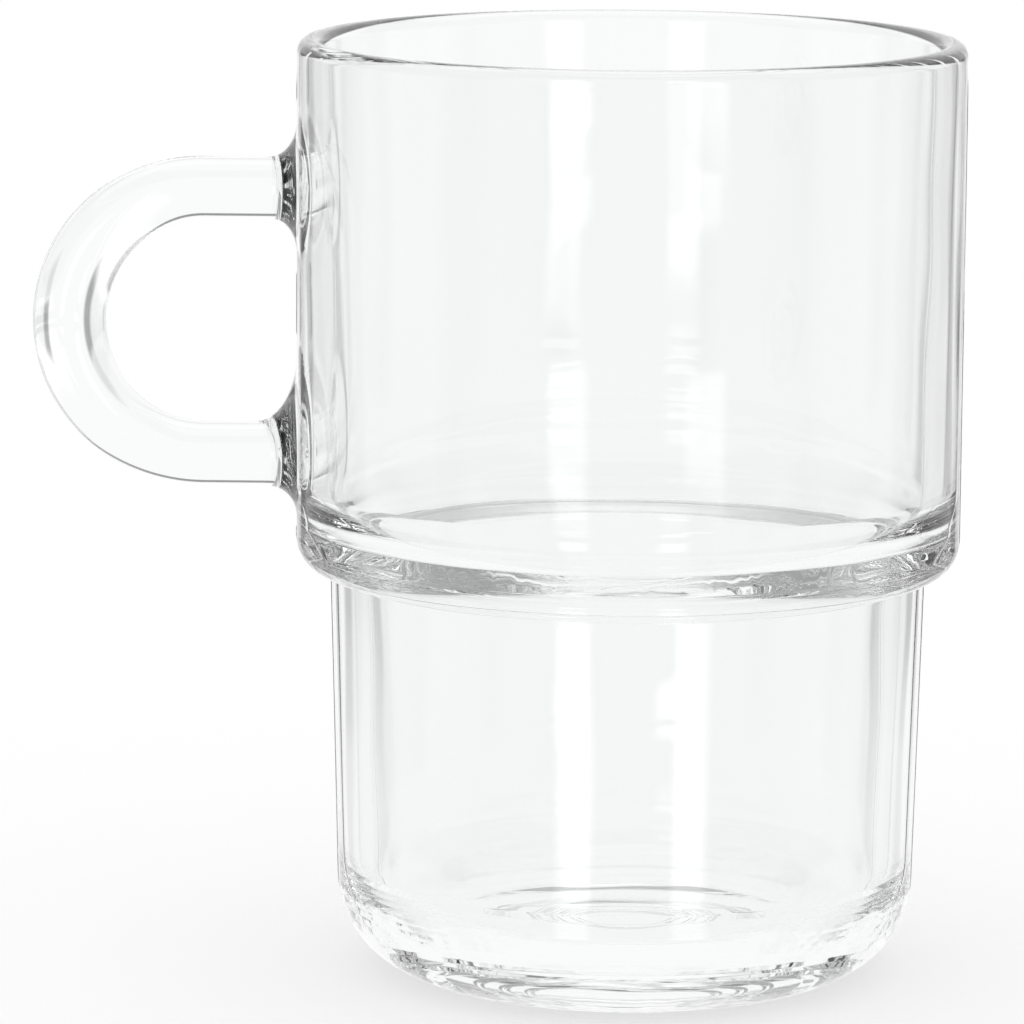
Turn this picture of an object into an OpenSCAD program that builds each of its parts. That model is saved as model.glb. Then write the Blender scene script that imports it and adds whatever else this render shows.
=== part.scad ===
// Handled stacking glass: a pressed clear-glass cup with a wide upper bowl, a rounded stacking
// shoulder, a narrower lower bowl, a rounded base and a round-bar handle fused to the upper wall.
// Millimetres, +Z up. The origin is on the cup's axis, in the plane that the cup stands on.
// The handle points to -X.

/* [Upper bowl] */
// Outer diameter of the upper bowl
bowl_d = 65; // [60:0.5:72]
// Height of the rim above the table
glass_h = 92; // [84:0.5:104]
// Wall at the fire-polished rim
rim_wall = 2.6; // [2:0.1:3.2]
// Wall of the upper bowl where it meets the shoulder
shoulder_wall = 3.2; // [2.8:0.1:4]

/* [Stacking shoulder] */
// Height of the shoulder's underside, which rests on the rim of the glass below
shoulder_h = 40.1; // [34:0.1:44]
// Rounding of the shoulder's outer corner
shoulder_round = 2.9; // [2:0.1:3.2]
// Fillet between the shoulder's underside and the lower bowl
neck_fillet = 0.4; // [0.2:0.1:0.6]
// Height of the inner slope's foot above the shoulder's underside
ledge_t = 0.9; // [0.4:0.1:2]
// Rise of the slope inside, from the lower bowl's wall to the upper one's
ledge_rise = 5.5; // [4:0.1:7]
// Fillet between the slope and the wall above it
ledge_fillet = 7; // [4:0.1:9]
// Rounding between the slope and the wall below it
ledge_round = 3; // [2:0.1:5]

/* [Lower bowl and base] */
// Gap all round between the lower bowl and the mouth of the glass below
stack_gap = 0.8; // [0.4:0.05:1.2]
// Drawing-in of the lower bowl from the shoulder down to the table, on the radius
lower_draft = 1; // [0.6:0.05:1.6]
// Wall of the lower bowl
lower_wall = 3.5; // [2.8:0.1:4.2]
// Glass under the floor, measured from the table
base_t = 4.6; // [3.6:0.1:7]
// Fillet between the floor and the wall
floor_fillet = 6.5; // [4:0.1:8]
// Rounding of the heel
heel_round = 9.2; // [6:0.1:10]

/* [Underside] */
// Inner diameter of the ring that the cup stands on
bearing_d = 28.8; // [26:0.2:32]
// Height of the hollow inside that ring
punt_h = 1.2; // [0.8:0.1:2]
// Slope of the hollow's edge, measured along the radius
punt_slope = 2.6; // [1:0.1:3.4]
// Width of a ring pressed into the hollow's ceiling
punt_ring_w = 0.7; // [0.4:0.1:1]
// Radius of the smallest of those rings
punt_ring_r = 6.1; // [4:0.1:6.4]
// Distance from one of those rings to the next
punt_ring_step = 1.7; // [1.2:0.1:1.8]

/* [Handle] */
// Thickness of the handle's bar
bar_d = 6.5; // [5.5:0.1:8]
// Height of the loop's centre above the table
handle_h = 64; // [62:0.2:66]
// Radius of the loop, measured to the middle of the bar
loop_r = 13.1; // [12:0.1:14]
// Straight run of each leg, from the wall to the start of the loop
leg_run = 9.2; // [7:0.1:13]
// Fillet round each root
root_fillet = 3.3; // [2:0.1:4]
// Depth by which a root's fillet starts inside the wall's crest line
root_sink = 0.35; // [0.2:0.05:0.5]

/* [Hidden] */

$fn = 128;
glass_tint = [0.87, 0.9, 0.9, 0.5];
punt_rings = 3;

bowl_r = bowl_d / 2;
mouth_r = bowl_r - rim_wall;
rim_round = rim_wall / 2;
ledge_h = shoulder_h + ledge_t;
ledge_top_h = ledge_h + ledge_rise;

neck_r = mouth_r - stack_gap;
foot_r = neck_r - lower_draft;
ledge_in_r = lower_r(ledge_h) - lower_wall;
floor_in_r = lower_r(base_t) - lower_wall;
bearing_r = bearing_d / 2;

bar_r = bar_d / 2;
root_r = bar_r + root_fillet;
loop_x = -bowl_r - leg_run;

// Outer radius of the lower bowl's drafted wall at height z
function lower_r(z) = foot_r + lower_draft * z / shoulder_h;

function unit(v) = v / norm(v);
function turn(a, b) = a.x * b.y - a.y * b.x;

// The glass cut along its axis: each point is [radius, height, rounding], from the underside's
// middle outwards, up the outside, over the rim and down the inside to the middle of the floor.
glass_section = [
    [0, punt_h, 0],
    [bearing_r - punt_slope, punt_h, 0],
    [bearing_r, 0, 0],
    [foot_r, 0, heel_round],
    [neck_r, shoulder_h, neck_fillet],
    [bowl_r, shoulder_h, shoulder_round],
    [bowl_r, glass_h, rim_round],
    [mouth_r, glass_h, rim_round],
    [bowl_r - shoulder_wall, ledge_top_h, ledge_fillet],
    [ledge_in_r, ledge_h, ledge_round],
    [floor_in_r, base_t, floor_fillet],
    [0, base_t, 0],
];

// Points at which the rounding of corner i touches the two edges that meet there
function corner_place(pts, i) = [pts[i].x, pts[i].y];
function edge_in(pts, i) = unit(corner_place(pts, (i + len(pts) - 1) % len(pts)) - corner_place(pts, i));
function edge_out(pts, i) = unit(corner_place(pts, (i + 1) % len(pts)) - corner_place(pts, i));
function half_angle(pts, i) = acos(edge_in(pts, i) * edge_out(pts, i)) / 2;
function setback(pts, i) = pts[i].z / tan(half_angle(pts, i));
function touch_in(pts, i) = corner_place(pts, i) + setback(pts, i) * edge_in(pts, i);
function touch_out(pts, i) = corner_place(pts, i) + setback(pts, i) * edge_out(pts, i);
function round_centre(pts, i) = corner_place(pts, i)
    + pts[i].z / sin(half_angle(pts, i)) * unit(edge_in(pts, i) + edge_out(pts, i));
function is_convex(pts, i) = turn(-edge_in(pts, i), edge_out(pts, i)) > 0;

// The slice of corner i's rounding circle that faces the corner
module corner_slice(pts, i) {
    intersection() {
        translate(round_centre(pts, i)) circle(r = pts[i].z);
        polygon([
            touch_in(pts, i),
            corner_place(pts, i),
            touch_out(pts, i),
            round_centre(pts, i),
        ]);
    }
}

// A closed outline, its points in anticlockwise order, with every rounded corner a true arc
module rounded_outline(pts) {
    rounded = [for (i = [0 : len(pts) - 1]) if (pts[i].z > 0) i];
    difference() {
        union() {
            polygon([
                for (i = [0 : len(pts) - 1])
                    each pts[i].z > 0
                        ? [touch_in(pts, i), touch_out(pts, i)]
                        : [corner_place(pts, i)]
            ]);
            for (i = rounded)
                if (is_convex(pts, i))
                    corner_slice(pts, i);
        }
        for (i = rounded)
            if (!is_convex(pts, i))
                corner_slice(pts, i);
    }
}

// One leg of the handle with the fillet round its root, along +Z from the wall
module leg() {
    rotate_extrude() {
        translate([0, -root_sink - bar_r]) square([root_r, bar_r]);
        translate([0, -root_sink])
            difference() {
                square([root_r, root_fillet]);
                translate([root_r, root_fillet]) circle(r = root_fillet);
            }
        square([bar_r, leg_run]);
    }
}

// The pressed cup: rim, upper wall, shoulder, lower wall, heel and base in one press of glass
module bowl() {
    color(glass_tint)
        rotate_extrude() {
            rounded_outline(glass_section);
            for (i = [0 : punt_rings - 1])
                translate([punt_ring_r + i * punt_ring_step, punt_h])
                    circle(d = punt_ring_w, $fn = 48);
        }
}

// The handle: a half loop and two legs, its roots cut to the round of the wall
module handle() {
    color(glass_tint)
        difference() {
            translate([0, 0, handle_h]) {
                translate([loop_x, 0, 0])
                    rotate([90, 0, 0])
                        rotate([0, 0, 90])
                            rotate_extrude(angle = 180)
                                translate([loop_r, 0]) circle(r = bar_r);
                for (side = [-1, 1])
                    translate([-bowl_r, 0, side * loop_r])
                        rotate([0, -90, 0]) leg();
            }
            cylinder(r = bowl_r, h = glass_h);
        }
}

bowl();
handle();
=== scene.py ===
# %% [markdown]
# # A handled stacking glass
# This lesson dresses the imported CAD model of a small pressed-glass coffee cup. The cup has a wide upper
# bowl, a rounded stacking shoulder, a narrower lower bowl, a rounded base and a round-bar handle.
# Clear glass shows nothing of its own colour: all that the eye reads is how its two skins bend the studio
# round it. So the work goes into a clean closed skin and into a studio worth bending.

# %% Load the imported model
import math
import random
import bmesh
import bpy
from mathutils import Matrix, Vector, noise


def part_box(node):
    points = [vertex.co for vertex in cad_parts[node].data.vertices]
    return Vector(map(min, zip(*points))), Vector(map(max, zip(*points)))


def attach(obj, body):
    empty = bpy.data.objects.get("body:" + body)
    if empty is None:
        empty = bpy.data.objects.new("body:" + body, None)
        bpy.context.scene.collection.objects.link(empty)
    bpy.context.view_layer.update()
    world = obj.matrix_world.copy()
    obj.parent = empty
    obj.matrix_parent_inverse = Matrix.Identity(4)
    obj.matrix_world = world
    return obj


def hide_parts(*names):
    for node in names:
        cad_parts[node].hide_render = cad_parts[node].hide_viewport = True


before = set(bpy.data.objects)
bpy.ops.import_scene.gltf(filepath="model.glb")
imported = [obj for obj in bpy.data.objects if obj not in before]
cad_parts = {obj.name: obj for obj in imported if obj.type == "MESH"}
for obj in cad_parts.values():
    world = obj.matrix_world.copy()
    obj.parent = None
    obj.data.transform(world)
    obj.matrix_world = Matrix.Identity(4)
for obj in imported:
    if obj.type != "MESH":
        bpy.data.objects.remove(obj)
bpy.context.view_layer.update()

bowl_low, bowl_high = (Vector(corner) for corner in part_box("bowl"))
handle_low, handle_high = (Vector(corner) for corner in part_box("handle"))

# %% [markdown]
# ## The camera
# The cup was taken with a long lens from a little above the rim, so that the mouth is a thin oval and the
# base a fuller one. A camera's place could be guessed by eye. Here it was solved from the ovals of the
# rim, shoulder and heel, which leave only one distance, height and tilt that fit them all.

# %% Place the camera
CAMERA_PLACE = (0.0, -0.600, 0.1485)
CAMERA_YAW = 0.01896
CAMERA_DOWN = 0.17029
CAMERA_ROLL = 0.0068
LENS_MM = 217.9
SENSOR_MM = 36.0
NEAREST_SEEN = 0.01

camera_data = bpy.data.cameras.new("camera")
camera_data.lens = LENS_MM
camera_data.sensor_width = SENSOR_MM
camera_data.clip_start = NEAREST_SEEN
camera = bpy.data.objects.new("camera", camera_data)
turn = Matrix.Rotation(CAMERA_YAW, 4, "Z")
tilt = Matrix.Rotation(math.pi / 2 - CAMERA_DOWN, 4, "X")
roll = Matrix.Rotation(CAMERA_ROLL, 4, "Z")
camera.matrix_world = Matrix.Translation(CAMERA_PLACE) @ turn @ tilt @ roll
bpy.context.scene.collection.objects.link(camera)
bpy.context.scene.camera = camera
print("camera at", CAMERA_PLACE, "lens", LENS_MM)

# %% [markdown]
# ## The section of the glass
# A pressed glass is made by a plunger that drives molten glass against a round mould, so one section,
# turned about the axis, gives all of it but the handle. The section is written as corners of radius,
# height and rounding, in millimetres, from the middle of the underside out, up the outside, over the rim
# and down the inside. A bevel modifier could round the corners, but arcs worked out here keep the true
# radius, and a row of points close to each end of an arc keeps the shading of the flats calm.

# %% Sizes of the outside, in millimetres
MM = 0.001
RIM_WALL = 2.6
STACK_GAP = 0.8
LOWER_DRAFT = 1.0
SHOULDER_H = 40.1
SHOULDER_ROUND = 2.9
NECK_FILLET = 0.4
HEEL_ROUND = 9.2

bowl_r = 500 * (bowl_high.x - bowl_low.x)
glass_h = 1000 * bowl_high.z
mouth_r = bowl_r - RIM_WALL
neck_r = mouth_r - STACK_GAP
foot_r = neck_r - LOWER_DRAFT


def lower_r(z):
    return foot_r + LOWER_DRAFT * z / SHOULDER_H


print("bowl radius", round(bowl_r, 3), "height", round(glass_h, 3), "neck", round(neck_r, 3))

# %% Sizes of the inside and of the hollow underneath
SHOULDER_WALL = 3.2
LEDGE_TOP, LEDGE_FILLET = 46.5, 7.0
LEDGE_LOW, LEDGE_ROUND = 41.0, 3.0
LOWER_WALL = 3.5
BASE_T = 4.6
FLOOR_FILLET = 6.5
DISH_R = 400.0
BEARING_R = 14.4
PUNT_H, PUNT_SLOPE, PUNT_ROUND = 1.2, 2.6, 0.5
PUNT_RINGS = (6.1, 7.8, 9.5)
PUNT_RING_R = 0.35
print("walls", RIM_WALL, SHOULDER_WALL, LOWER_WALL, "base", BASE_T, "rings underneath", len(PUNT_RINGS))

# %% Rows of the upper wall, with room for the two roots
ROOT_ROWS = 24
MIDDLE_ROWS = 7
UPPER_ROOT = (68.6, 85.9)
LOWER_ROOT = (43.6, 63.0)
ROWS_UNDER_RIM = [87.0, 88.2, 89.3, 90.1, 90.5]


def even_stops(low, high, count):
    return [low + (high - low) * i / count for i in range(count + 1)]


upper_wall_stops = (even_stops(*LOWER_ROOT, ROOT_ROWS)
                    + even_stops(LOWER_ROOT[1], UPPER_ROOT[0], MIDDLE_ROWS)[1:-1]
                    + even_stops(*UPPER_ROOT, ROOT_ROWS)
                    + ROWS_UNDER_RIM)
print("rows on the upper wall:", len(upper_wall_stops))

# %% Stops along an edge, closest together near its ends
FIRST_STEP = 0.12
STEP_GROWTH = 1.7


def graded_stops(length, widest):
    steps = []
    step = FIRST_STEP
    reach = 0.0
    while reach + step < length / 2:
        reach += step
        steps.append(reach)
        step = min(step * STEP_GROWTH, widest)
    return steps + [length - s for s in reversed(steps)]


print("stops on an edge of 10 mm:", len(graded_stops(10.0, 1.0)))

# %% The arc that rounds one corner
ARC_STEP = math.radians(6)
FEWEST_ARC_STEPS = 6


def corner_arc(before, corner, after, radius):
    to_before = (before - corner).normalized()
    to_after = (after - corner).normalized()
    half = to_before.angle(to_after) / 2
    setback = radius / math.tan(half)
    centre = corner + (to_before + to_after).normalized() * radius / math.sin(half)
    first = corner + to_before * setback - centre
    last = corner + to_after * setback - centre
    swing = first.angle_signed(last)
    count = max(FEWEST_ARC_STEPS, math.ceil(abs(swing) / ARC_STEP))
    points = []
    for i in range(count + 1):
        angle = -swing * i / count
        turned = Vector((first.x * math.cos(angle) - first.y * math.sin(angle),
                         first.x * math.sin(angle) + first.y * math.cos(angle)))
        points.append(centre + turned)
    return points


heel_arc = corner_arc(Vector((0, 0)), Vector((foot_r, 0)), Vector((neck_r, SHOULDER_H)), HEEL_ROUND)
print("points on the heel's arc:", len(heel_arc))


# %% A whole section from its corners
def rounded_section(corners):
    places = [Vector((r, z)) for r, z, rounding, after in corners]
    arcs = []
    for i, (r, z, rounding, after) in enumerate(corners):
        if rounding > 0:
            arcs.append(corner_arc(places[i - 1], places[i], places[i + 1], rounding))
        else:
            arcs.append([places[i]])
    points = []
    for i, arc in enumerate(arcs):
        points += arc
        if i + 1 == len(arcs):
            break
        start, end = arc[-1], arcs[i + 1][0]
        after = corners[i][3]
        if isinstance(after, list):
            points += [start.lerp(end, (z - start.y) / (end.y - start.y)) for z in after]
        else:
            length = (end - start).length
            points += [start.lerp(end, stop / length) for stop in graded_stops(length, after)]
    return points


block = [(0, 0, 0, 1.0), (10, 0, 1, 1.0), (10, 10, 0, 1.0)]
print("points on a trial section of three corners:", len(rounded_section(block)))

# %% The hollow's ceiling, with its pressed rings
UNLIMITED = 10.0
CEILING_STEP, CEILING_STEPS = 0.5, 10
RING_DEGREES = range(-90, 91, 15)


def punt_ceiling():
    stops = [CEILING_STEP * i for i in range(CEILING_STEPS)]
    for ring in PUNT_RINGS:
        stops += [ring + PUNT_RING_R * math.sin(math.radians(a)) for a in RING_DEGREES]
    points = []
    for r in stops:
        drop = 0.0
        for ring in PUNT_RINGS:
            inside = PUNT_RING_R ** 2 - (r - ring) ** 2
            if inside > 0:
                drop = math.sqrt(inside)
        points.append((r, PUNT_H - drop, 0, UNLIMITED))
    return points


print("points on the hollow's ceiling:", len(punt_ceiling()))

# %% The floor inside, a very shallow dish with a fillet round it
SETTLING_ROUNDS = 6
FLOOR_ARC_STEPS = 14
DISH_STEPS = 24


def floor_inside():
    dish_centre = Vector((0.0, BASE_T + DISH_R))
    fillet_z = BASE_T + FLOOR_FILLET
    for settling in range(SETTLING_ROUNDS):
        fillet_r = lower_r(fillet_z) - LOWER_WALL - FLOOR_FILLET
        fillet_z = dish_centre.y - math.sqrt((DISH_R - FLOOR_FILLET) ** 2 - fillet_r ** 2)
    fillet_centre = Vector((fillet_r, fillet_z))
    downwards = math.atan2(dish_centre.y - fillet_z, fillet_r)
    points = []
    for i in range(FLOOR_ARC_STEPS + 1):
        angle = -downwards * i / FLOOR_ARC_STEPS
        points.append(fillet_centre + FLOOR_FILLET * Vector((math.cos(angle), math.sin(angle))))
    edge = math.atan2(points[-1].x, dish_centre.y - points[-1].y)
    for i in range(1, DISH_STEPS + 1):
        angle = edge * (1 - i / DISH_STEPS)
        points.append(dish_centre + DISH_R * Vector((math.sin(angle), -math.cos(angle))))
    return [(max(p.x, 0.0), p.y, 0, UNLIMITED) for p in points]


print("points on the floor and its fillet:", len(floor_inside()))

# %% The corners: radius, height, rounding, and the widest step or the rows to the next corner
FINEST, FINE, COARSE = 0.4, 0.5, 1.0
RIM_FLAT = 0.001

section_corners = punt_ceiling() + [
    (BEARING_R - PUNT_SLOPE, PUNT_H, PUNT_ROUND, FINE),
    (BEARING_R, 0.0, PUNT_ROUND, FINEST),
    (foot_r, 0.0, HEEL_ROUND, COARSE),
    (neck_r, SHOULDER_H, NECK_FILLET, FINE),
    (bowl_r, SHOULDER_H, SHOULDER_ROUND, upper_wall_stops),
    (bowl_r, glass_h, RIM_WALL / 2 - RIM_FLAT, FINE),
    (mouth_r, glass_h, RIM_WALL / 2 - RIM_FLAT, COARSE),
    (bowl_r - SHOULDER_WALL, LEDGE_TOP, LEDGE_FILLET, FINE),
    (lower_r(LEDGE_LOW) - LOWER_WALL, LEDGE_LOW, LEDGE_ROUND, COARSE),
] + floor_inside()
section = rounded_section(section_corners)
print("points on the section:", len(section))

# %% [markdown]
# ## Waves, seam and stipple
# Pressed glass is never quite true. The skins chill against the iron in slow waves, the two halves of the
# mould leave a fine raised seam in the plane of the handle, and the foot of the heel is stippled, so that
# scratches from the table don't show. A bump map could hint at these, but only a skin that really moves
# bends what is behind it, so each is a small offset along the skin's own normal.

# %% The waves of the two skins
OUTER_WAVE, OUTER_WAVE_LENGTH, OUTER_CALM = 0.020, 9.0, (6, 1)
INNER_WAVE, INNER_WAVE_LENGTH, INNER_CALM = 0.035, 7.0, (8, 1)
INNER_SHIFT = (40, -70, 90)
WAVE_STRETCH = 0.6


def smooth(low, high, value):
    t = min(1.0, max(0.0, (value - low) / (high - low)))
    return t * t * (3 - 2 * t)


def calm_near_rim(distances, z):
    first, last = distances
    return 1 - smooth(glass_h - first, glass_h - last, z)


def outer_wave(x, y, z):
    place = Vector((x, y, WAVE_STRETCH * z))
    return calm_near_rim(OUTER_CALM, z) * OUTER_WAVE * noise.noise(place / OUTER_WAVE_LENGTH)


def inner_wave(x, y, z):
    place = Vector((x + INNER_SHIFT[0], y + INNER_SHIFT[1], WAVE_STRETCH * z + INNER_SHIFT[2]))
    return calm_near_rim(INNER_CALM, z) * INNER_WAVE * noise.noise(place / INNER_WAVE_LENGTH)


print("waves of", OUTER_WAVE, "and", INNER_WAVE, "mm; outside at mid height", outer_wave(bowl_r, 0, 60))

# %% The mould's seam
SEAM_H, SEAM_HALF = 0.12, 0.80
SEAM_START = (2.0, 8.0)
SEAM_STOP = (5, 2)


def seam_ridge(degrees, z):
    off = abs((degrees + 90) % 180 - 90)
    if off >= SEAM_HALF:
        return 0.0
    along = smooth(*SEAM_START, z) * calm_near_rim(SEAM_STOP, z)
    return along * SEAM_H * (1 - (off / SEAM_HALF) ** 2)


print("seam at mid height:", seam_ridge(0.0, 60), "mm, and to one side of it:", seam_ridge(1.0, 60))

# %% [markdown]
# ## Turning the section
# A Screw modifier would turn the section in one step, but the handle has to grow out of the wall without
# a line, as it does on the real cup. So the wall is woven here, row by row, and two windows are left open
# in it where the handle's roots will be joined. Extra columns close to the mould's seam carry its ridge.

# %% Columns, and the rows that bound the two windows
COLUMNS = 256
SEAM_COLUMNS = (-0.80, -0.35, 0.35, 0.80)
ROOT_COLUMNS = 9
HAIR = 0.01
SAME_HEIGHT = 1e-4

columns = [360 * k / COLUMNS for k in range(COLUMNS)]
columns += [(side + off) % 360 for side in (0, 180) for off in SEAM_COLUMNS]
columns.sort()
root_reach = ROOT_COLUMNS * 360 / COLUMNS + HAIR
window_columns = [c for c, degrees in enumerate(columns) if abs(degrees - 180) < root_reach]
rim_row = max(range(len(section)), key=lambda i: section[i].y)


def wall_row(z):
    return next(i for i in range(rim_row)
                if section[i].x > bowl_r - HAIR and abs(section[i].y - z) < SAME_HEIGHT)


windows = {name: (wall_row(low), wall_row(high))
           for name, (low, high) in {"upper": UPPER_ROOT, "lower": LOWER_ROOT}.items()}
print("columns", len(columns), "window rows", windows, "window columns", len(window_columns))

# %% Place one point of the skin
STIPPLE_SEED = 11
STIPPLE = 0.07
STIPPLE_FROM = 19.5
STIPPLE_LOW, STIPPLE_HIGH = 1.6, 3.0
WAVE_START = (0, 4)

draw = random.Random(STIPPLE_SEED)


def skin_point(i, degrees):
    here = section[i]
    along = (section[min(i + 1, len(section) - 1)] - section[max(i - 1, 0)]).normalized()
    out = Vector((along.y, -along.x))
    angle = math.radians(degrees)
    x, y, z = here.x * math.cos(angle), here.x * math.sin(angle), here.y
    offset = 0.0
    if i > rim_row:
        offset = inner_wave(x, y, z)
    elif z > HAIR and here.x > foot_r - HEEL_ROUND:
        offset = outer_wave(x, y, z) * smooth(*WAVE_START, z) + seam_ridge(degrees, z)
    if i < rim_row and here.x > STIPPLE_FROM and here.y < STIPPLE_HIGH:
        fade = 1 - smooth(STIPPLE_LOW, STIPPLE_HIGH, here.y)
        offset -= STIPPLE * fade * draw.random()
    r = here.x + out.x * offset
    z += out.y * offset
    return Vector((r * math.cos(angle), r * math.sin(angle), z)) * MM


print("a point on the rim:", skin_point(rim_row, 0.0))


# %% Which points and cells a window leaves out
def in_window(i, c):
    inside_columns = window_columns[0] < c < window_columns[-1]
    return inside_columns and any(low < i < high for low, high in windows.values())


def cell_in_window(i, c):
    inside_columns = window_columns[0] <= c < window_columns[-1]
    return inside_columns and any(low <= i < high for low, high in windows.values())


left_out = sum(cell_in_window(i, c) for i in range(len(section)) for c in range(len(columns)))
print("cells left out for the roots:", left_out)

# %% Build the rows and the faces between them
ON_AXIS = 1e-6

bm = bmesh.new()
rows = []
for i, place in enumerate(section):
    if place.x < ON_AXIS:
        rows.append([bm.verts.new((0, 0, place.y * MM))])
    else:
        rows.append([None if in_window(i, c) else bm.verts.new(skin_point(i, degrees))
                     for c, degrees in enumerate(columns)])

for i in range(len(rows) - 1):
    for c in range(len(columns)):
        d = (c + 1) % len(columns)
        if len(rows[i]) == 1:
            bm.faces.new((rows[i][0], rows[i + 1][c], rows[i + 1][d]))
        elif len(rows[i + 1]) == 1:
            bm.faces.new((rows[i][c], rows[i][d], rows[i + 1][0]))
        elif not cell_in_window(i, c):
            bm.faces.new((rows[i][c], rows[i][d], rows[i + 1][d], rows[i + 1][c]))
print("points on the turned skin:", len(bm.verts), "faces:", len(bm.faces))

# %% [markdown]
# ## The handle and its roots
# The handle is a round bar, pressed in its own hollow of the mould and bent in a half loop, that swells
# into the wall in two flared roots. A curve with a bevel would give the bar, and a boolean would join it,
# but a boolean leaves a hard line and a second skin inside the glass, and both would show. So rings of
# points run from the upper window over a fillet, along the bar and over the lower fillet into the lower
# window: cup and handle then have one skin, and light passes from one into the other with no break.

# %% Sizes of the bar and its roots
LOOP_R = 13.1
CAD_BAR_R = 3.25
BAR_R_TOP = 3.08
BAR_R_BEND = 3.60
BAR_R_BOTTOM = 3.20

loop_h = 500 * (handle_low.z + handle_high.z)
loop_x = 1000 * handle_low.x + LOOP_R + CAD_BAR_R

# Each root: centre height, which way is outwards, bar radius, then the fillet's reach along the wall and
# along the bar on the outer side of the loop, on its inner side and on the two flanks.
ROOTS = {
    "upper": dict(z=loop_h + LOOP_R, out=1, bar=BAR_R_TOP,
                  wall=(4.0, 3.6, 3.1), leg=(2.7, 2.2, 2.6)),
    "lower": dict(z=loop_h - LOOP_R, out=-1, bar=BAR_R_BOTTOM,
                  wall=(3.0, 7.2, 3.1), leg=(2.7, 4.0, 2.7)),
}


def by_side(values, phi):
    outer, inner, flank = values
    s = math.sin(phi)
    share_out = max(0.0, s) ** 2
    share_in = max(0.0, -s) ** 2
    return outer * share_out + inner * share_in + flank * math.cos(phi) ** 2


lower_reach = [round(by_side(ROOTS["lower"]["wall"], math.radians(a)), 2) for a in (90, 0, -90)]
print("roots at", [round(root["z"], 2) for root in ROOTS.values()], "lower fillet's reach", lower_reach)


# %% Edge of a window, in the order that both roots share
def window_edge(name):
    low, high = windows[name]
    if ROOTS[name]["out"] < 0:
        low, high = high, low
    step = 1 if high > low else -1
    first, last = window_columns[0], window_columns[-1]
    cells = [(low, c) for c in range(first, last)]
    cells += [(i, last) for i in range(low, high, step)]
    cells += [(high, c) for c in range(last, first, -1)]
    cells += [(i, first) for i in range(high, low, -step)]
    return [rows[i][c] for i, c in cells]


def edge_angles(name):
    root = ROOTS[name]
    found = []
    for vert in window_edge(name):
        found.append(math.atan2(root["out"] * (vert.co.z / MM - root["z"]), vert.co.y / MM))
    return found


upper_angles = edge_angles("upper")
lower_angles = []
for a, b in zip(upper_angles, edge_angles("lower")):
    lower_angles.append(a + (b - a + math.pi) % (2 * math.pi) - math.pi)
print("points round the bar:", len(upper_angles))

# %% Rings from a window's edge over the fillet to the bar
EASING_SHARES = (1 / 3, 2 / 3)
FILLET_STEPS = 12
WAVE_FADE = 2


def root_rings(name, angles):
    root = ROOTS[name]
    edge = window_edge(name)
    rings = [edge]

    def ring(reach_at, lift_at):
        made = []
        for j, phi in enumerate(angles):
            reach, lift = reach_at(j, phi), lift_at(phi)
            y = reach * math.cos(phi)
            z = root["z"] + root["out"] * reach * math.sin(phi)
            x = -math.sqrt(bowl_r ** 2 - y ** 2)
            wave = outer_wave(x, y, z) * max(0.0, 1 - lift / WAVE_FADE)
            made.append(bm.verts.new(Vector((x * (1 + wave / bowl_r) - lift, y, z)) * MM))
        rings.append(made)

    edge_reach = [math.hypot(v.co.y / MM, v.co.z / MM - root["z"]) for v in edge]

    def foot_reach(phi):
        return root["bar"] + by_side(root["wall"], phi)

    for share in EASING_SHARES:
        ring(lambda j, phi: edge_reach[j] + (foot_reach(phi) - edge_reach[j]) * share, lambda phi: 0.0)
    for k in range(FILLET_STEPS + 1):
        t = math.pi / 2 * k / FILLET_STEPS
        ring(lambda j, phi: root["bar"] + by_side(root["wall"], phi) * (1 - math.sin(t)),
             lambda phi: by_side(root["leg"], phi) * (1 - math.cos(t)))
    return rings


down = root_rings("upper", upper_angles)
up = root_rings("lower", lower_angles)
print("rings over each root:", len(down), "and", len(up))


# %% One ring of the bar, which is thickest in the bend
def bar_ring(turn_share):
    angle = math.pi * turn_share
    bend = math.sin(angle) ** 2
    radius = BAR_R_TOP + (BAR_R_BOTTOM - BAR_R_TOP) * turn_share
    radius += (BAR_R_BEND - radius) * bend
    outwards = Vector((-math.sin(angle), 0, math.cos(angle)))
    centre = Vector((loop_x, 0, loop_h)) + outwards * LOOP_R
    made = []
    for a, b in zip(upper_angles, lower_angles):
        phi = a + (b - a) * smooth(0, 1, turn_share)
        place = centre + (Vector((0, 1, 0)) * math.cos(phi) + outwards * math.sin(phi)) * radius
        made.append(place)
    return made


LOOP_STEPS = 60
loop = [bar_ring(k / LOOP_STEPS) for k in range(LOOP_STEPS + 1)]
print("rings round the loop:", len(loop))

# %% The straight legs, and the skin over all the rings
LEG_STEPS = 5


def leg_rings(last_ring, next_places):
    rings = []
    for k in range(1, LEG_STEPS):
        share = k / LEG_STEPS
        rings.append([bm.verts.new(v.co.lerp(p * MM, share)) for v, p in zip(last_ring, next_places)])
    return rings


def new_ring(places):
    return [bm.verts.new(p * MM) for p in places]


rings = down + leg_rings(down[-1], loop[0]) + [new_ring(places) for places in loop]
rings += list(reversed(leg_rings(up[-1], loop[-1]))) + list(reversed(up))
for a, b in zip(rings, rings[1:]):
    for j in range(len(a)):
        k = (j + 1) % len(a)
        bm.faces.new((a[j], a[k], b[k], b[j]))
print("rings along the handle:", len(rings))

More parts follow.
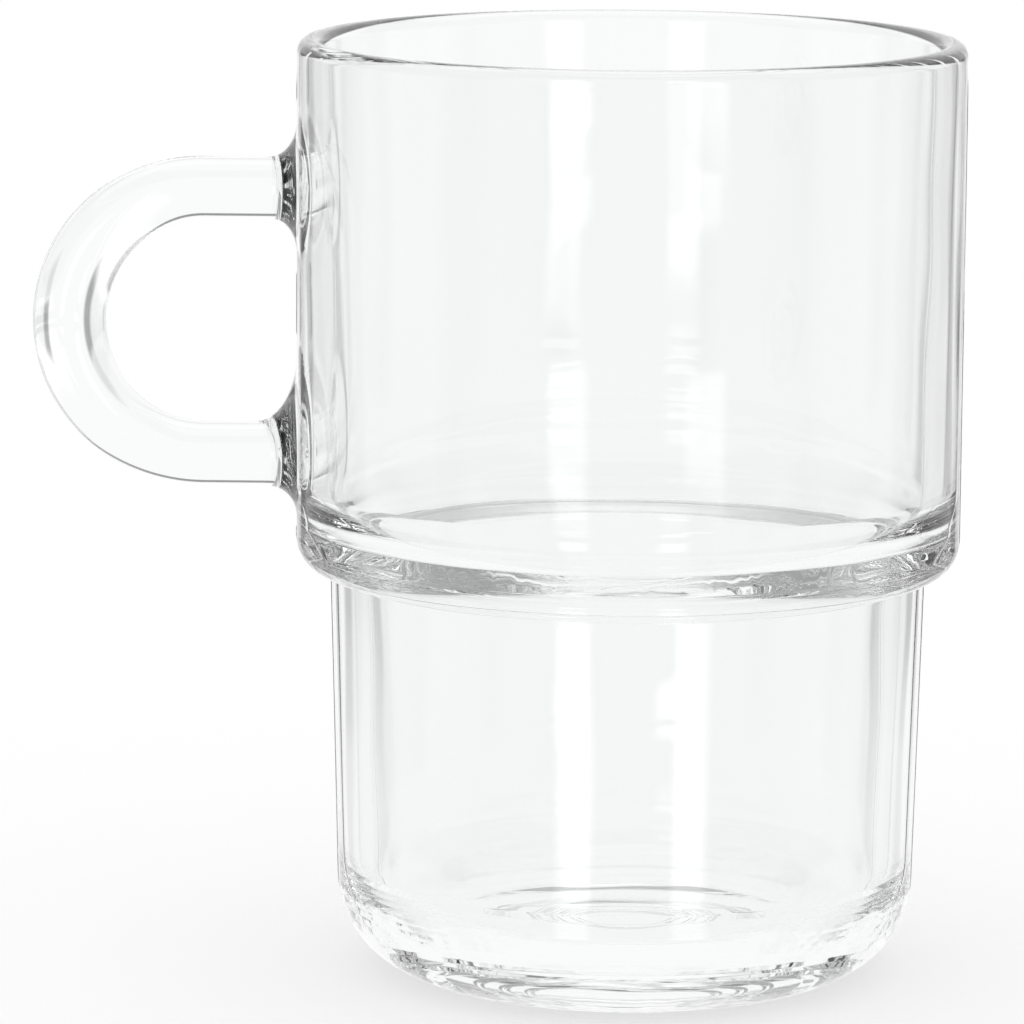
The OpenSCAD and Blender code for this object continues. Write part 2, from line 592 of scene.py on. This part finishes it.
# %% Close the skin and hand it to the frame
bmesh.ops.recalc_face_normals(bm, faces=bm.faces)
open_edges = [e for e in bm.edges if len(e.link_faces) != 2]
glass_volume = bm.calc_volume(signed=True) / MM ** 3
cup_mesh = bpy.data.meshes.new("glass_cup")
bm.to_mesh(cup_mesh)
bm.free()
cup_mesh.shade_smooth()
cup = bpy.data.objects.new("glass_cup", cup_mesh)
bpy.context.scene.collection.objects.link(cup)
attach(cup, "root")
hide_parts("bowl", "handle")
print("open edges:", len(open_edges), "glass in cubic cm:", round(glass_volume / 1000, 2))

# %% [markdown]
# ## A hand for shader maths
# A shader is a graph of nodes, and graphs are slow to read. This class wraps one socket, so that a mask
# can be written as arithmetic and each operator adds its own Math node. All other nodes come from one
# method: the kind of node, its settings, and the values or links of its sockets.

# %% One class for all node trees
class Strand:
    def __init__(self, tree, node=None, socket=None):
        self.tree = tree
        self.owner = node
        self.socket = socket

    def node(self, kind, settings=None, values=None, out=0):
        made = self.tree.nodes.new(kind)
        for name, value in (settings or {}).items():
            setattr(made, name, value)
        for key, value in (values or {}).items():
            if isinstance(value, Strand):
                self.tree.links.new(value.socket, made.inputs[key])
            else:
                made.inputs[key].default_value = value
        return Strand(self.tree, made, made.outputs[out] if len(made.outputs) else None)

    def other(self, out):
        return Strand(self.tree, self.owner, self.owner.outputs[out])

    def maths(self, operation, first, second):
        return self.node("ShaderNodeMath", {"operation": operation}, {0: first, 1: second})

    def __add__(self, other):
        return self.maths("ADD", self, other)

    __radd__ = __add__

    def __mul__(self, other):
        return self.maths("MULTIPLY", self, other)

    __rmul__ = __mul__

    def __sub__(self, other):
        return self.maths("SUBTRACT", self, other)

    def __rsub__(self, other):
        return self.maths("SUBTRACT", other, self)


def fresh_tree(owner):
    owner.use_nodes = True
    owner.node_tree.nodes.clear()
    return Strand(owner.node_tree)


print("a strand can be added, subtracted and multiplied, from either side")

# %% [markdown]
# ## Clear glass
# The glass is colourless soda-lime, fire-polished after pressing. A Glass shader would do for the bending,
# but the Principled shader with full transmission travels better to other programs. Its colour is a
# breath off white and drifts a little, as thick glass does, and faint patches of wiped-off water make
# it a touch less sharp in places.

# %% The glass
CLEAREST, GREYEST = (0.965, 0.97, 0.97, 1), (0.945, 0.952, 0.952, 1)
DRIFT_SCALE = 60.0
SMUDGE_SCALE = 35.0
HAZE = 0.012
GLASS_IOR = 1.52

glass = bpy.data.materials.new("clear_glass")
g = fresh_tree(glass)
where = g.node("ShaderNodeTexCoord", out="Object")
drift = g.node("ShaderNodeTexNoise", {"noise_dimensions": "3D"},
               {"Vector": where, "Scale": DRIFT_SCALE, "Detail": 2.0, "Roughness": 0.5})
tint = g.node("ShaderNodeMix", {"data_type": "RGBA"}, {0: drift, 6: CLEAREST, 7: GREYEST}, out=2)
smudge = g.node("ShaderNodeTexNoise", {"noise_dimensions": "3D"},
                {"Vector": where, "Scale": SMUDGE_SCALE, "Detail": 4.0, "Roughness": 0.6})
shader = g.node("ShaderNodeBsdfPrincipled", {},
                {"Base Color": tint, "Roughness": smudge * HAZE,
                 "IOR": GLASS_IOR, "Transmission Weight": 1.0})
g.node("ShaderNodeOutputMaterial", {}, {"Surface": shader})
cup.data.materials.append(glass)
print("glass nodes:", len(glass.node_tree.nodes))

# %% [markdown]
# ## The studio
# Clear glass is lit by what stands round it. A plain white room makes it vanish, so a photographer hangs
# dark panels round the white ground: the thick edges of the glass bend them into grey lines that draw the
# cup. Real panels could be modelled, but the world's own shader can paint them by direction, far away and
# soft at the edges, and they then suit every side that the cup is seen from. Heights are given as the
# rise of a ray, the sine of its angle above the table, and depths as its Y, from the camera's side at -1
# to the far side at 1. Each pair is where a soft edge starts and where it ends.

# %% Directions, and soft-edged bands in them
world = bpy.data.worlds.new("studio")
bpy.context.scene.world = world
w = fresh_tree(world)


def ramp(value, edge, at_start, at_end):
    return value.node("ShaderNodeMapRange", {"interpolation_type": "SMOOTHSTEP"},
                      {"Value": value, "From Min": edge[0], "From Max": edge[1],
                       "To Min": at_start, "To Max": at_end})


def between(value, low, high):
    return ramp(value, low, 0.0, 1.0) * ramp(value, high, 1.0, 0.0)


heading = w.node("ShaderNodeTexCoord", out="Generated")
split = w.node("ShaderNodeSeparateXYZ", {}, {0: heading})
depth = split.other("Y")
rise = split.other("Z")
azimuth = w.node("ShaderNodeMath", {"operation": "ARCTAN2"}, {0: depth, 1: split.other("X")})
print("world nodes for the directions:", len(world.node_tree.nodes))

# %% [markdown]
# ## Flags at the corners of the white ground
# The first panels are upright flags. Seen from above they repeat every quarter turn, with a wide white
# opening behind each side, so that the middle of the cup stays clear and only its steep edges, which bend
# light the most, find the dark. They are deepest at their inner edge and paler low down, and those on
# the far side are the darkest.

# %% The flags
FLAG_EDGE = (math.radians(19), math.radians(23))
FLAG_CORNER = (math.radians(27), math.radians(32))
FLAG_DARK, FLAG_CORNER_DARK = 0.62, 0.15
FLAG_FOOT, FLAG_STEP, FLAG_TOP = (-0.42, -0.32), (-0.225, -0.190), (-0.05, 0.03)
FLAG_FOOT_SHARE = 0.35
FLAG_AROUND, FLAG_FAR = 0.42, (0.3, 0.7)

off_square = w.node("ShaderNodeMath", {"operation": "PINGPONG"}, {0: azimuth, 1: math.pi / 4})
flags = ramp(off_square, FLAG_EDGE, 0.0, 1.0)
flags = flags * ramp(off_square, FLAG_CORNER, FLAG_DARK, FLAG_CORNER_DARK)
flags = flags * between(rise, FLAG_FOOT, FLAG_TOP) * ramp(rise, FLAG_STEP, FLAG_FOOT_SHARE, 1.0)
flags = flags * ramp(depth, FLAG_FAR, FLAG_AROUND, 1.0)
print("flags as dark as", FLAG_DARK, "from", round(math.degrees(FLAG_EDGE[0])), "degrees off square")

# %% [markdown]
# ## Louvres, brow and canopy
# The shoulder's ribbon, the rim and the base look upwards through the glass. Louvres darken the room to
# the left and right above the table, a thin brow hangs over the far side, and a canopy hangs over the
# camera. Each lets its own share of the light through, so shares are multiplied and where two panels
# overlap the room never falls below black.

# %% The panels overhead
LOUVRE_DARK = 0.65
LOUVRE_LOW, LOUVRE_HIGH = (0.05, 0.12), (0.62, 0.72)
LOUVRE_FRONT, LOUVRE_BACK = (-0.75, -0.55), (0.50, 0.70)
BROW_DARK = 0.80
BROW_LOW, BROW_HIGH, BROW_FRONT = (0.58, 0.62), (0.70, 0.74), (0.30, 0.45)
CANOPY_DARK = 0.64
CANOPY_LOW, CANOPY_HIGH, CANOPY_BACK = (0.68, 0.72), (0.93, 0.96), (-0.05, 0.10)

louvres = between(rise, LOUVRE_LOW, LOUVRE_HIGH) * LOUVRE_DARK
louvres = louvres * ramp(depth, LOUVRE_BACK, 1.0, 0.0) * ramp(depth, LOUVRE_FRONT, 0.0, 1.0)
brow = between(rise, BROW_LOW, BROW_HIGH) * ramp(depth, BROW_FRONT, 0.0, BROW_DARK)
canopy = between(rise, CANOPY_LOW, CANOPY_HIGH) * ramp(depth, CANOPY_BACK, CANOPY_DARK, 0.0)
unshaded = (1 - flags) * (1 - louvres) * (1 - brow) * (1 - canopy)
print("world nodes with all panels:", len(world.node_tree.nodes))

# %% [markdown]
# ## Softboxes and overhead light
# Two tall softboxes, one on each side of the camera, leave the pale upright strips on both bowls. Each is
# three panes with dark bars between them, which break the strips. A wide light over the far side fills
# the ledge inside. Lamps could do this too, but a lamp is one size for every ray, while the world keeps
# the boxes at one distance from all of the glass.

# %% The lights
BOX_HEADING, BOX_SHIFT = math.radians(23.4), math.radians(2.6)
BOX_HALF = math.radians(6.8)
BOX_EDGE = (BOX_HALF * 0.65, BOX_HALF * 1.30)
BOX_LIGHT = 2.6
BOX_PANES = (((-0.300, -0.285), (-0.215, -0.205)),
             ((-0.170, -0.164), (-0.150, -0.146)),
             ((-0.128, -0.104), (0.10, 0.30)))
TOP_LIGHT = 0.5
TOP_LOW, TOP_FRONT = (0.82, 0.88), (0.10, 0.25)

from_camera = w.node("ShaderNodeMath", {"operation": "ABSOLUTE"},
                     {0: azimuth + (math.pi / 2 - BOX_SHIFT)})
off_box = w.node("ShaderNodeMath", {"operation": "ABSOLUTE"}, {0: from_camera - BOX_HEADING})
boxes = ramp(off_box, BOX_EDGE, 1.0, 0.0) * sum(between(rise, low, high) for low, high in BOX_PANES)
top_light = ramp(rise, TOP_LOW, 0.0, TOP_LIGHT) * ramp(depth, TOP_FRONT, 0.0, 1.0)
room = unshaded * (1 - boxes) + boxes * BOX_LIGHT + top_light
print("softboxes of", len(BOX_PANES), "panes at", BOX_LIGHT, "and a top light of", TOP_LIGHT)

# %% [markdown]
# ## The white ground
# The picture's ground is plain white. So rays straight from the camera, and those that light the table,
# see an even white of strength 1, and only rays that the glass mirrors or bends see the studio.

# %% Join room and ground
light_path = w.node("ShaderNodeLightPath", out="Is Camera Ray")
plain = w.node("ShaderNodeMath", {"operation": "MAXIMUM"},
               {0: light_path, 1: light_path.other("Is Diffuse Ray")})
level = room * (1 - plain) + plain
background = w.node("ShaderNodeBackground", {}, {"Color": (1, 1, 1, 1), "Strength": level})
w.node("ShaderNodeOutputWorld", {}, {"Surface": background})
print("world nodes:", len(world.node_tree.nodes))

# %% [markdown]
# ## The table top
# The cup stands on a white table, of which only a breath of shadow is seen. A plain white plane would
# need more light to reach white, and that light would spoil the glass. So this disc gives part of its
# white by itself and takes the rest from the world: where the cup stands in the way, that rest is missing
# and a soft shadow stays. Mirrored and bent rays pass it by, so that the base sees the studio.

# %% The table top
FLOOR_R, FLOOR_SIDES = 0.25, 128
TABLE_GREY, TABLE_GLOW = 0.4, 0.61

floor_bm = bmesh.new()
bmesh.ops.create_circle(floor_bm, cap_ends=True, segments=FLOOR_SIDES, radius=FLOOR_R)
floor_mesh = bpy.data.meshes.new("floor")
floor_bm.to_mesh(floor_mesh)
floor_bm.free()
floor = bpy.data.objects.new("floor", floor_mesh)
bpy.context.scene.collection.objects.link(floor)
floor.visible_glossy = False
floor.visible_transmission = False
paint = bpy.data.materials.new("pale_table")
p = fresh_tree(paint)
board = p.node("ShaderNodeBsdfPrincipled", {},
               {"Base Color": (TABLE_GREY, TABLE_GREY, TABLE_GREY, 1), "Roughness": 1.0,
                "Specular IOR Level": 0.0, "Emission Color": (1, 1, 1, 1), "Emission Strength": TABLE_GLOW})
p.node("ShaderNodeOutputMaterial", {}, {"Surface": board})
floor.data.materials.append(paint)
print("table top of radius", FLOOR_R)

# %% [markdown]
# ## Bounces and the end
# In a thick base a ray may bounce from skin to skin many times before it comes out. With the usual few
# bounces those places turn black, so the limits are raised. The Standard view shows colours as they are
# written.

# %% Settings and the end
BENT_BOUNCES, MIRROR_BOUNCES = 48, 24

bpy.context.scene.view_settings.view_transform = "Standard"
bpy.context.scene.cycles.max_bounces = BENT_BOUNCES
bpy.context.scene.cycles.transmission_bounces = BENT_BOUNCES
bpy.context.scene.cycles.glossy_bounces = MIRROR_BOUNCES
